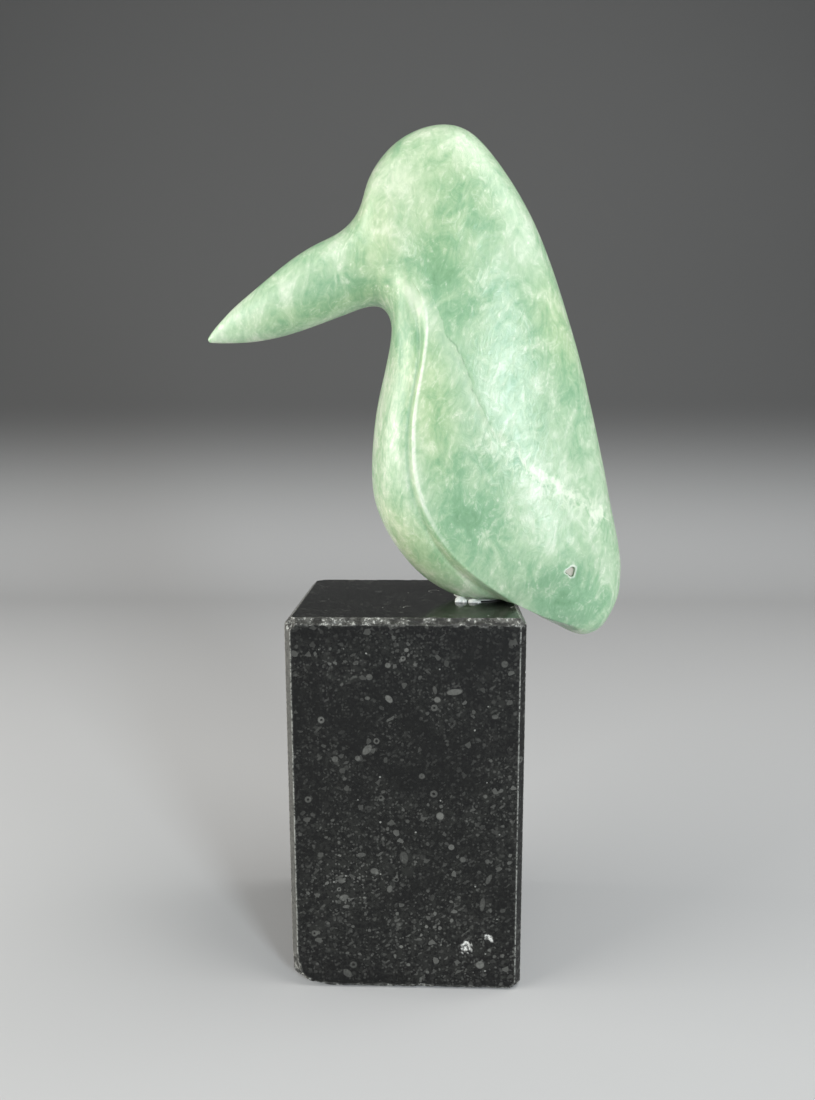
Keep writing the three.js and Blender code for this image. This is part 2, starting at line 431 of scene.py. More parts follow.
@dataclass(frozen=True)
class RoundEnd:
    """A rounded end of the bird's outline, an arc open by some degrees to each side of heading."""

    name: str
    centre: tuple[float, float]
    radius: float
    heading: float
    opening: float
    half: float
    front_side: int
    edge_share: float

    def rung(self, share: float) -> Rung:
        """The rung across the arc at a share of its opening.

        Args:
            share: 0 at the very end, 1 where the arc starts.

        Returns:
            The rung.
        """
        angle = math.radians(share * self.opening)
        heading = math.radians(self.heading)

        def on_arc(direction: float) -> tuple[float, float]:
            """A point of the arc.

            Args:
                direction: Its angle from +X, in radians.

            Returns:
                The point.
            """
            return (
                self.centre[0] + self.radius * math.cos(direction),
                self.centre[1] + self.radius * math.sin(direction),
            )

        return Rung(
            self.name,
            on_arc(heading + angle * self.front_side),
            on_arc(heading - angle * self.front_side),
            self.half * math.sin(angle) / math.sin(math.radians(self.opening)),
            self.edge_share * 2 * self.radius * math.sin(angle),
        )


BEAK_TIP = RoundEnd("beak arc", (-86.8, 114.9), 1.5, 207, 68, 1.4, 1, 0.5)
TAIL_TIP = RoundEnd("tail arc", (79.3, -5.3), 12, -72, 42, 12.2, -1, 0.4)

RUNGS = (
    Rung("beak fore", (-80, 113.2), (-82.6, 122.2), 3.4, 4.7),
    Rung("beak quarter", (-70, 113.6), (-76.5, 128), 5.7, 7.9),
    Rung("beak middle", (-54.5, 116.3), (-65, 137.1), 9.6, 11.7),
    Rung("beak root", (-26.5, 125.6), (-38, 155), 14.6, 16),
    Rung("gape", (-17.5, 128.5), (-27.1, 160.3), 17.6, 18),
    Rung("throat", (-12, 128.4), (-20.2, 168), 20, 22.5),
    Rung("brow", (-8.8, 125.7), (-16.6, 178.3), 21.8, 29),
    Rung("forehead", (-7.2, 121.8), (-9.2, 190.2), 23, 34),
    Rung("crown front", (-6.7, 117.4), (4.2, 199.6), 23.5, 33),
    Rung("crown back", (-7.2, 112.6), (21.9, 201.2), 24.1, 27.5),
    Rung("nape", (-8.4, 106.6), (36.7, 189.5), 24.8, 28.5),
    Rung("shoulder", (-11.2, 94.9), (54, 163), 26, 28.5),
    Rung("upper breast", (-14.6, 76.8), (69, 125.5), 27.5, 22),
    Rung("full breast", (-15.9, 58), (77.8, 97), 28, 20.5),
    Rung("lower breast", (-13.5, 39.4), (84.2, 71.5), 27.6, 21),
    Rung("belly", (-4.5, 22), (88.2, 54.5), 26.6, 21),
    Rung("low belly", (8, 8.3), (90.9, 41.5), 25.4, 20.5),
    Rung("seat", (23.6, 0.2), (93.2, 32), 24, 16.5),
    Rung("seat end", (37, -0.6), (95, 24), 22.4, 8.5),
    Rung("tail root", (48.4, -1.2), (96.3, 15.5), 20.8, 1.5),
    Rung("tail", (58, -7.9), (96.3, 7), 19, 4.5),
    Rung("tail end", (67.5, -12.9), (94.8, -1.5), 16.4, 7),
)


@dataclass(frozen=True)
class WingEdge:
    """The wing's front edge, proud of the breast by rise_top at the throat, more at the belly."""

    rise_top: float = 1.3
    rise_low: float = 4.5
    wall_top: float = 5.2
    wall: float = 2.1
    wall_low: float = 4.6
    groove: float = 0.55
    groove_spread: float = 1.4
    lip: float = 0.75
    lip_fade: float = 4.5
    keel: float = 3.5


@dataclass(frozen=True)
class Hollow:
    """A shallow dish in the skin, long along lean (degrees from +X in the plane y = 0)."""

    centre: tuple[float, float] = (11, 139)
    depth: float = 1.6
    reach: float = 26
    spread: float = 9
    lean: float = -70.7

    def depth_at(self, x: np.ndarray, height: np.ndarray) -> np.ndarray:
        """How deep the dish is at places above the seat."""
        along, across = leaning(x - self.centre[0], height - self.centre[1], self.lean)
        return self.depth * np.exp(-((along / self.reach) ** 2) - (across / self.spread) ** 2)


@dataclass
class BirdForm:
    """The smooth form of the bird, in the plane y = 0 and through its thickness."""

    wing: WingEdge = WingEdge()
    cheek: Hollow = Hollow()
    side_faces: int = 150
    edge_faces: int = 58
    ring_gap: float = 1.15
    least_rings: int = 5
    ladder: list[Rung] = field(init=False)

    def __post_init__(self) -> None:
        """Builds the ladder and its splines."""
        beak = [BEAK_TIP.rung(share) for share in (0, 0.5, 1)]
        tail = [TAIL_TIP.rung(share) for share in (1, 0.75, 0.5, 0.25, 0)]
        self.ladder = [*beak, *RUNGS, *tail]
        steps = [
            (math.dist(low.front, high.front) + math.dist(low.back, high.back)) / 2
            for low, high in zip(self.ladder, self.ladder[1:])
        ]
        self.knots = np.concatenate([[0.0], np.cumsum(steps)])
        self.front_x = self._spline(lambda rung: rung.front[0])
        self.front_z = self._spline(lambda rung: rung.front[1])
        self.back_x = self._spline(lambda rung: rung.back[0])
        self.back_z = self._spline(lambda rung: rung.back[1])
        self.half_at = self._spline(lambda rung: rung.half)
        self.edge_at = self._spline(lambda rung: rung.edge)

    def _spline(self, pick: Callable[[Rung], float]) -> NaturalSpline:
        """The spline through one number of every rung."""
        return NaturalSpline(self.knots, [pick(rung) for rung in self.ladder])

    def ring_places(self) -> np.ndarray:
        """Where on the ladder the rings of the mesh stand.

        Returns:
            The rings' places, from the first knot to the last.
        """
        places = [np.zeros(1)]
        for low, high in zip(self.knots, self.knots[1:]):
            rings = max(self.least_rings, round((high - low) / self.ring_gap))
            places.append(np.linspace(low, high, rings + 1)[1:])
        return np.concatenate(places)

    def ramp(self, start: str, end: str, place: np.ndarray) -> np.ndarray:
        """0 before the rung called start, 1 after the rung called end, smooth between."""
        names = [rung.name for rung in self.ladder]
        return smoothstep(place, self.knots[names.index(start)], self.knots[names.index(end)])

    def edge_strength(self, place: np.ndarray) -> np.ndarray:
        """How clearly the wing's edge shows, from 0 to 1."""
        fading = self.ramp("full breast", "low belly", place)
        return self.ramp("nape", "shoulder", place) * (1 - fading)

    def half_thickness(
        self, place: np.ndarray, distance: np.ndarray, length: np.ndarray
    ) -> np.ndarray:
        """Half the thickness of the stone.

        Args:
            place: Places on the ladder.
            distance: How far along the rung, from its front end.
            length: The rung's length.

        Returns:
            Half thicknesses in millimetres.
        """
        wing = self.wing
        on_wing = self.ramp("crown back", "shoulder", place)
        off_tail = 1 - self.ramp("tail", "tail arc", place)
        rise = wing.rise_top * on_wing + wing.rise_low * self.ramp("lower breast", "seat", place)
        rise = rise * off_tail
        groove = wing.groove * on_wing * (1 - self.ramp("low belly", "seat end", place))
        lip = wing.lip * on_wing * (1 - self.ramp("seat", "tail", place))
        keel = wing.keel * self.ramp("nape", "full breast", place)
        keel = keel * (1 - self.ramp("low belly", "tail arc", place))
        keel_at = lerp(0.25, 0.65, self.ramp("shoulder", "belly", place))
        fullness = 2 + 1.2 * self.ramp("beak middle", "brow", place)
        fullness = fullness - 0.6 * self.ramp("shoulder", "full breast", place)
        half = self.half_at(place)
        edge = np.maximum(self.edge_at(place), 1e-6)

        past = distance - edge
        roundness = np.sqrt(np.clip(1 - (1 - distance / edge) ** 2, 0, 1))
        breast = np.maximum(half - rise, 0.2 * half) * roundness
        width = lerp(wing.wall_top, wing.wall, self.ramp("nape", "upper breast", place))
        width = lerp(width, wing.wall_low, self.ramp("full breast", "seat", place))
        foot = np.minimum(width, 0.9 * edge)
        wall = smoothstep(past / foot, -1, 0) * np.minimum(rise, 1)
        dip = groove * np.exp(-(((past + foot) / wing.groove_spread) ** 2))
        before = lerp(breast, half + lip, wall) - dip

        share = np.clip(past / np.maximum(length - edge, 1e-6), 0, 1)
        short = np.maximum(keel_at - share, 0) / keel_at
        crest = lip * np.exp(-np.maximum(past, 0) / wing.lip_fade)
        after = (half + keel * (1 - short**2) + crest) * np.sqrt(1 - share**fullness)
        return np.where(past < 0, before, after)

    def distance_along(
        self, share: np.ndarray, length: np.ndarray, edge: np.ndarray
    ) -> np.ndarray:
        """How far along a rung a vertex lies at the given share of the way round one side.

        Args:
            share: The share of the way, from the front line.
            length: The rung's length.
            edge: How far along it the wing's edge stands.

        Returns:
            The distances from the front line.
        """
        edge_share = self.edge_faces / self.side_faces
        left = np.clip(1 - share / edge_share, 0, 1)
        on = np.clip((share - edge_share) / (1 - edge_share), 0, 1)
        before = edge * (1 - np.sin(np.pi / 2 * left**1.5))
        after = edge + (length - edge) * np.sin(np.pi / 2 * on**1.25)
        return np.where(share <= edge_share, before, after)

    def skin(self, place: np.ndarray, around: np.ndarray) -> tuple[np.ndarray, np.ndarray]:
        """Points of the skin.

        Args:
            place: Places on the ladder, from beak to tail.
            around: The share of the way about the section, by the near side and home by the far.

        Returns:
            The points, as rows of x, y and height above the seat, and how far past the wing's
            edge each of them lies.
        """
        front = np.stack([self.front_x(place), self.front_z(place)], 1)
        back = np.stack([self.back_x(place), self.back_z(place)], 1)
        length = np.linalg.norm(back - front, axis=1)
        edge = self.edge_at(place)
        share = 1 - np.abs(1 - 2 * around)
        distance = self.distance_along(share, length, edge)
        at = front + (back - front) * (distance / np.maximum(length, 1e-6))[:, None]
        bare = self.half_thickness(place, distance, length)
        dish = self.cheek.depth_at(at[:, 0], at[:, 1]) * smoothstep(bare, 4, 16)
        half = np.where(length < 1e-6, 0, np.maximum(bare - dish, 0))
        side = np.where(around < 0.5, -half, half)
        return np.stack([at[:, 0], side, at[:, 1]], 1), distance - edge


@dataclass(frozen=True)
class Seam:
    """A line across the near side of the bird, through points of (x, height above the seat)."""

    points: tuple[tuple[float, float], ...]

    def measure(self, x: np.ndarray, height: np.ndarray) -> tuple[np.ndarray, np.ndarray]:
        """How places lie to the line.

        Args:
            x: Places along X.
            height: Heights above the seat.

        Returns:
            The signed distance to the line, larger on its upper right, and the share of the
            line's length at the nearest point.
        """
        points = np.array(self.points, float)
        steps = np.linalg.norm(np.diff(points, axis=0), axis=1)
        knots = np.concatenate([[0.0], np.cumsum(steps)])
        fine = np.linspace(0, knots[-1], 240)
        line = np.stack([NaturalSpline(knots, points[:, k])(fine) for k in (0, 1)], 1)
        away = np.stack([x, height], 1)[:, None, :] - line[None, :, :]
        gaps = np.linalg.norm(away, axis=2)
        nearest = gaps.argmin(1)
        rows = np.arange(len(nearest))
        heading = np.gradient(line, axis=0)[nearest]
        offset = away[rows, nearest]
        side = np.sign(heading[:, 0] * offset[:, 1] - heading[:, 1] * offset[:, 0])
        return side * gaps[rows, nearest], nearest / (len(fine) - 1)


@dataclass(frozen=True)
class Patch:
    """A soft oval region of the near side, for a change of colour."""

    centre: tuple[float, float]
    reach: tuple[float, float]
    lean: float
    strength: float

    def weight(self, x: np.ndarray, height: np.ndarray) -> np.ndarray:
        """The patch's strength at places above the seat."""
        along, across = leaning(x - self.centre[0], height - self.centre[1], self.lean)
        away = (along / self.reach[0]) ** 2 + (across / self.reach[1]) ** 2
        return self.strength * np.exp(-(away**1.5))


def coverage(patches: tuple[Patch, ...], x: np.ndarray, height: np.ndarray) -> np.ndarray:
    """How strongly places lie in any of the patches."""
    return sum(patch.weight(x, height) for patch in patches)


@dataclass(frozen=True)
class Pit:
    """A small natural pit in the tail's near side, with a worn rim."""

    centre: tuple[float, float] = (70.2, 14.8)
    radius: float = 2.3
    depth: float = 1.1
    rim: float = 0.14
    reach: float = 5.5
    cuts: int = 4


# ---- the bird --------------------------------------------------------------------------------


@dataclass
class Bird:
    """The carved bird: its fine skin, and its green stone."""

    seat_height: float
    form: BirdForm = field(default_factory=BirdForm)
    pit: Pit = Pit()
    seat_start: float = 5.0
    seat_end: float = 47.4
    unevenness: float = 0.14
    unevenness_grain: float = 24.0
    vein: Seam = Seam(
        (
            (13.2, 123.3), (16.9, 114.6), (21.2, 106.5), (26, 96), (29.7, 86.1),
            (36.8, 76.4), (46.3, 67), (56.4, 57), (68.8, 49.4), (84, 39),
        )
    )
    vein_relief: float = 0.2
    vein_wander: float = 2.2

    def build(self) -> bpy.types.Object:
        """Moulds a sphere's grid of rings and segments onto the form.

        Returns:
            The bird's object.
        """
        places = self.form.ring_places()
        rings, segments = len(places) - 1, 2 * self.form.side_faces
        bm = bmesh.new()
        bmesh.ops.create_uvsphere(bm, u_segments=segments, v_segments=rings, radius=1)
        ball = coordinates(bm)
        ring = np.round(np.arccos(np.clip(ball[:, 2], -1, 1)) / np.pi * rings).astype(int)
        around = np.round(np.arctan2(ball[:, 1], ball[:, 0]) / (2 * np.pi) * segments) % segments
        points, past = self.form.skin(places[ring], around / segments)
        points[:, 2] = self._flatten_seat(points)
        place_vertices(bm, points)
        layers = bm.verts.layers.float
        past_layer, edge_layer = layers.new("past_edge"), layers.new("edge_strength")
        strength = self.form.edge_strength(places[ring])
        for vert, distance, clear in zip(bm.verts, past, strength):
            vert[past_layer] = distance
            vert[edge_layer] = clear
        pit_share, rim_share = self._sink_pit(bm)
        traits = self._carve_relief(bm) | {"pit": pit_share, "pit_rim": rim_share}
        bmesh.ops.translate(bm, vec=(0, 0, self.seat_height), verts=bm.verts)
        return finished_piece("soapstone_bird", bm, traits)

    def _flatten_seat(self, points: np.ndarray) -> np.ndarray:
        """Heights with the underside cut flat where the bird is glued down."""
        x, height = points[:, 0], points[:, 2]
        under = (x > self.seat_start) & (x < self.seat_end)
        return np.where(under, np.maximum(height, 0), height)

    def _sink_pit(self, bm: bmesh.types.BMesh) -> tuple[np.ndarray, np.ndarray]:
        """Makes the mesh finer about the pit and pushes the pit in.

        Args:
            bm: The bird.

        Returns:
            How much of the pit, and of its rim, is at each vertex, from 0 to 1.
        """
        pit = self.pit

        def gap(point: Vector) -> float:
            """The distance from the pit's middle on the near side."""
            if point.y > 0:
                return math.inf
            return math.hypot(point.x - pit.centre[0], point.z - pit.centre[1])

        faces = [face for face in bm.faces if gap(face.calc_center_median()) < pit.reach]
        edges = {edge for face in faces for edge in face.edges}
        bmesh.ops.subdivide_edges(
            bm, edges=list(edges), cuts=pit.cuts, use_grid_fill=True, smooth=0.3
        )
        bm.normal_update()
        bm.verts.index_update()
        share, rims = np.zeros(len(bm.verts)), np.zeros(len(bm.verts))
        for vert in bm.verts:
            away = gap(vert.co)
            if away > 2 * pit.radius:
                continue
            angle = math.atan2(vert.co.z - pit.centre[1], vert.co.x - pit.centre[0])
            wave = 1 + 0.16 * math.sin(angle + 1.1) + 0.17 * math.sin(3 * angle - 1.3)
            reach = away / (pit.radius * wave)
            bowl = 1 - float(smoothstep(np.array(reach), 0.6, 0.95))
            rim = math.exp(-(((reach - 1.05) / 0.16) ** 2))
            share[vert.index], rims[vert.index] = bowl, rim
            vert.co += vert.normal * (pit.rim * rim - pit.depth * bowl)
        return share, rims

    def _carve_relief(self, bm: bmesh.types.BMesh) -> dict[str, np.ndarray]:
        """Adds the hand's unevenness and the seam's relief, and measures what the finish needs.

        Args:
            bm: The bird, in heights above the seat.

        Returns:
            Vertex attributes by name.
        """
        points = coordinates(bm)
        normals = np.array([vert.normal for vert in bm.verts])
        x, height = points[:, 0], points[:, 2]
        near = smoothstep(-points[:, 1], 2, 14)
        gap, along = self.vein.measure(x, height)
        gap = gap + self.vein_wander * rough_noise(points, 10, 3)
        groove = np.exp(-(((gap + 0.9) / 1.3) ** 2)) * (1 - smoothstep(along, 0.3, 0.5))
        groove = groove * smoothstep(along, 0.05, 0.2)
        step = smoothstep(gap, -2, 1) * np.exp(-np.maximum(gap, 0) / 6)
        step = step * (1 - smoothstep(along, 0.5, 0.8)) * smoothstep(along, 0, 0.15)
        lumps = self.unevenness * rough_noise(points, self.unevenness_grain, 2)
        off_seat = smoothstep(height, 0, 6)
        relief = lumps * off_seat + near * (self.vein_relief * (step - 0.8 * groove))
        place_vertices(bm, points + normals * relief[:, None])
        return {
            "vein_gap": np.clip(gap, -40, 40),
            "vein_along": along,
            "near": near,
            # The deep and pale traits are partly painted shade and painted highlight, from the
            # patches.
            "deep": near * coverage(DEEP_AND_SHADE_PATCHES, x, height),
            "pale": near * coverage(PALE_AND_HIGHLIGHT_PATCHES, x, height),
            "warm": near * coverage(WARM_PATCHES, x, height),
            "past_edge": self._layer(bm, "past_edge"),
            "edge_strength": self._layer(bm, "edge_strength"),
        }

    @staticmethod
    def _layer(bm: bmesh.types.BMesh, name: str) -> np.ndarray:
        """A bmesh's vertex layer as numbers."""
        layer = bm.verts.layers.float[name]
        return np.array([vert[layer] for vert in bm.verts])


# Where the near side is a deeper green, where it is paler, and where it is yellower. Heights are
# above the seat. Some deep patches are painted shade and some pale patches are painted highlight,
# as marked at each.
DEEP_AND_SHADE_PATCHES = (
    # Painted shade under the beak.
    Patch((-46, 118), (30, 6), 17, 1.3),
    # Painted shade in the cheek's hollow.
    Patch((14, 136), (24, 8), -60, 0.5),
    # Deeper green stone and painted shade, where the wing's lower left turns from the light.
    Patch((28, 56), (30, 14), -66, 0.55),
    # Deeper green stone and painted shade low on the belly and wing, under the wing's overhang.
    Patch((40, 22), (34, 16), -30, 0.6),
    Patch((76, -2), (22, 12), 10, 0.5),
    Patch((1, 190), (9, 6), 50, 0.4),
    # Painted shade under the beak's root.
    Patch((-24, 131), (20, 9), 10, 0.55),
    Patch((-8, 112), (10, 8), -70, 0.5),
    # Deeper green stone and painted shade, where the wing turns from the light beside its edge.
    Patch((14, 98), (22, 8), -78, 0.4),
)
PALE_AND_HIGHLIGHT_PATCHES = (
    # Painted highlight: the side light's streak down the cheek.
    Patch((-10, 158), (22, 7), 85, 0.45),
    # Painted highlight: the bright start of the wing's edge, facing the side light.
    Patch((5, 126), (13, 3.6), -58, 1.3),
    # Painted highlight: the side light's sheen down the breast.
    Patch((-8, 76), (22, 7), -88, 0.35),
    Patch((-58, 127), (24, 4), 32, 0.3),
    Patch((20, 192), (20, 13), -30, 0.7),
    Patch((2, 172), (24, 9), 84, 0.45),
    # Painted highlight: the side light's sheen down the breast.
    Patch((-8, 84), (30, 5), -84, 0.3),
    # Painted highlight along the wing's edge.
    Patch((4, 88), (26, 4), -80, 0.5),
    Patch((60, 62), (16, 12), -50, 0.6),
    Patch((50, 44), (12, 8), -60, 0.5),
    Patch((74, 34), (10, 8), -60, 0.4),
    Patch((54, 134), (26, 9), -68, 0.4),
    Patch((63, 79), (20, 8), -72, 0.45),
    Patch((84, 21), (14, 7), -78, 0.45),
    # Painted highlight: the side light's streak down the cheek.
    Patch((-11, 168), (12, 7), 80, 0.4),
)
WARM_PATCHES = (
    Patch((10, 86), (30, 10), -80, 0.6),
    Patch((-50, 120), (40, 7), 17, 0.8),
    Patch((2, 26), (28, 12), -40, 0.6),
    Patch((66, 118), (22, 12), -70, 0.6),
    Patch((-14, 150), (20, 10), 80, 0.4),
    Patch((12, 168), (36, 26), 80, 0.45),
)


@dataclass(frozen=True)
class GreenSoapstone:
    """Polished, cloudy, slightly see-through green stone with pale strokes and flecks."""

    deepest: Colour = (0.17, 0.34, 0.185)
    deep: Colour = (0.27, 0.465, 0.28)
    middle: Colour = (0.44, 0.60, 0.395)
    pale: Colour = (0.67, 0.765, 0.59)
    cream: Colour = (0.88, 0.89, 0.77)
    warmth: Colour = (1.04, 1.0, 0.84)
    # Painted highlight along the crest of the wing's edge.
    crest: Colour = (0.91, 0.915, 0.81)
    vein: Colour = (0.82, 0.87, 0.71)
    crack: Colour = (0.12, 0.24, 0.14)
    pit_floor: Colour = (0.60, 0.58, 0.49)
    # Painted highlight on the pit's rim, and painted shade on its wall.
    pit_rim: Colour = (0.90, 0.90, 0.82)
    pit_wall_shade: Colour = (0.10, 0.10, 0.07)
    roughness: float = 0.21
    ior: float = 1.5
    glow: float = 0.35
    glow_depth: float = 4.0
    glow_colour: Colour = (0.7, 1.0, 0.65)

    def material(self) -> bpy.types.Material:
        """Builds the stone's nodes.

        Returns:
            The material.
        """
        stone = Finish("green_soapstone")
        place = stone.millimetres()
        grain = stone.turned(place, (0, 14, 0), (1.0, 1.0, 1.6))
        fibre = stone.turned(place, (0, 7, 0), (1.0, 1.0, 3.6))
        clouds = stone.noise(place, 32, 3, 0.5, 0.6) - 0.5
        mottle = stone.noise(grain, 11, 5, 0.62, 1.4) - 0.5
        crumble = stone.noise(grain, 4.4, 6, 0.68, 1.6) - 0.5
        threads = stone.noise(fibre, 2.0, 4, 0.62, 1.0) - 0.5
        past = stone.trait("past_edge")
        on_edge = stone.trait("edge_strength")
        on_breast = past.rise(-1.0, -4.0) * on_edge

        tone = clouds * 0.75 + mottle * 0.85 + crumble * 0.5 + threads * (on_breast * 0.6 + 0.12)
        # The deep and pale patches darken and lighten the stone, partly as painted shade and
        # painted highlight.
        tone = tone + stone.trait("pale") * 0.24 - stone.trait("deep") * 0.28
        stops = zip((0.0, 0.27, 0.5, 0.8), (self.deepest, self.deep, self.middle, self.pale))
        colour = stone.node("ShaderNodeValToRGB", {"stops": list(stops)}, {"Fac": tone + 0.5})
        colour = stone.blend(stone.trait("warm"), colour, self.warmth, "MULTIPLY")
        colour = self._add_pale_marks(stone, colour, grain, mottle, crumble, threads)
        colour = self._add_lines(stone, colour, place, crumble)

        gloss = self.roughness + (stone.noise(place, 14, 3) - 0.5) * 0.12 - crumble * 0.1
        stone.shade(
            Base_Color=colour,
            Roughness=gloss,
            Normal=stone.bumped(crumble + threads * 0.3, 0.26),
            Subsurface_Weight=self.glow,
            Subsurface_Radius=self.glow_colour,
            Subsurface_Scale=self.glow_depth * MM,
            IOR=self.ior,
        )
        return stone.material

    def _add_pale_marks(
        self,
        stone: Finish,
        colour: Signal,
        grain: Signal,
        mottle: Signal,
        crumble: Signal,
        threads: Signal,
    ) -> Signal:
        """Adds upright strokes, wisps and small flecks of cream.

        Args:
            stone: The material.
            colour: The stone's colour so far.
            grain: Places in millimetres, drawn out along the stone's grain.
            mottle: Noise about 0, in lumps of a centimetre.
            crumble: Noise about 0, in lumps of some millimetres.
            threads: Noise about 0, in upright threads.

        Returns:
            The colour with the marks.
        """
        where = (mottle + crumble * 0.4).rise(0.0, 0.14) * (stone.trait("pale") * 0.7 + 0.35)
        strokes = threads.rise(0.09, 0.22) * where
        colour = stone.blend(strokes * 0.85, colour, self.cream)
        bands = stone.noise(grain, 9, 3, 0.5, 2.2) - 0.5
        wisps = (1 - abs(bands) * 14).most(0) * (crumble + mottle * 0.6).rise(0.0, 0.16)
        colour = stone.blend(wisps * 0.3, colour, self.cream)
        flecks = stone.cells(grain, 3.1).rise(0.2, 0.08) * crumble.rise(0.04, 0.14)
        return stone.blend(flecks * 0.6, colour, self.cream)

    def _add_lines(self, stone: Finish, colour: Signal, place: Signal, crumble: Signal) -> Signal:
        """Adds the crease with its vein and its banks of painted highlight and painted shade, the
        painted highlight on the crest of the wing's edge with painted shade at its foot, and the
        pit with painted highlight on its rim and painted shade on its wall.

        Args:
            stone: The material.
            colour: The stone's colour so far.
            place: Places in millimetres.
            crumble: Noise about 0, in lumps of some millimetres.

        Returns:
            The colour with the lines.
        """
        gap = stone.trait("vein_gap")
        along = stone.trait("vein_along")
        near = stone.trait("near")
        wobble = (stone.noise(place, 11, 5, 0.68) - 0.5) * 20
        stray = gap + wobble * along
        upper = along.rise(0.62, 0.42) * near
        # Painted highlight on the crease's lower left bank, painted shade on its upper right bank.
        painted_highlight_bank = gap.rise(-7, -0.5) * gap.rise(0.4, -0.2) * upper
        painted_shade_bank = gap.rise(8, 0.5) * gap.rise(-0.4, 0.4) * upper
        colour = stone.blend(painted_highlight_bank * 0.3, colour, self.pale)
        colour = stone.blend(painted_shade_bank * 0.28, colour, self.deep)
        core = abs(stray).rise(3.0, 0.8) * along.rise(0.5, 0.72)
        haze = abs(stray + 1).rise(10, 1) * along.rise(0.36, 0.6) * crumble.rise(-0.05, 0.12)
        colour = stone.blend(haze * near * 0.5, colour, self.vein)
        colour = stone.blend(core * (crumble * 2 + 0.62) * near, colour, self.vein)
        shadow = abs(stray + 3.4).rise(0.9, 0.2) * along.rise(0.55, 0.7) * crumble.rise(0.02, -0.08)
        colour = stone.blend(shadow * near * 0.5, colour, self.deep)
        cut = abs(gap + wobble * 0.09).rise(0.55, 0.1) * along.rise(0.46, 0.3) * near
        colour = stone.blend(cut * crumble.rise(-0.03, 0.1) * 0.4, colour, self.crack)

        past = stone.trait("past_edge")
        on_edge = stone.trait("edge_strength")
        # Painted highlight: a pale line along the crest of the wing's edge. Painted shade: a deeper
        # green line in the groove at its foot.
        crest = abs(past - 0.5).rise(1.4, 0.2) * on_edge
        foot = abs(past + 2.4).rise(1.6, 0.3) * on_edge
        colour = stone.blend(foot * 0.5, colour, self.deep)
        colour = stone.blend(crest * (crumble * 1.6 + 0.72), colour, self.crest)
        pit = stone.trait("pit")
        # Painted highlight on the pit's rim and painted shade on its wall; the pit's floor is its
        # own grey.
        colour = stone.blend(stone.trait("pit_rim") * (crumble * 2.5 + 0.6), colour, self.pit_rim)
        colour = stone.blend(pit.rise(0.45, 0.8), colour, self.pit_floor)
        line = pit.rise(0.02, 0.25) * pit.rise(0.8, 0.4)
        return stone.blend(line * (0.75 - crumble * 2), colour, self.pit_wall_shade)


# ---- the block -------------------------------------------------------------------------------


class Wear(Enum):
    """How a cut edge of the block is left: raggedness in millimetres, honed and broken share."""

    POLISHED = (0.05, 0.0, 0.0)
    HONED = (0.12, 1.0, 0.0)
    CHIPPED = (0.8, 0.5, 0.75)
    BROKEN = (0.9, 0.2, 1.0)


@dataclass(frozen=True)
class Arris:
    """A worn edge or corner of the block, cut by a plane."""

    normal: Vector
    reach: float
    wear: Wear


@dataclass(frozen=True)
class Chip:
    """A crushed chip in the block's front face."""

    x: float
    z: float
    radius: float
    depth: float


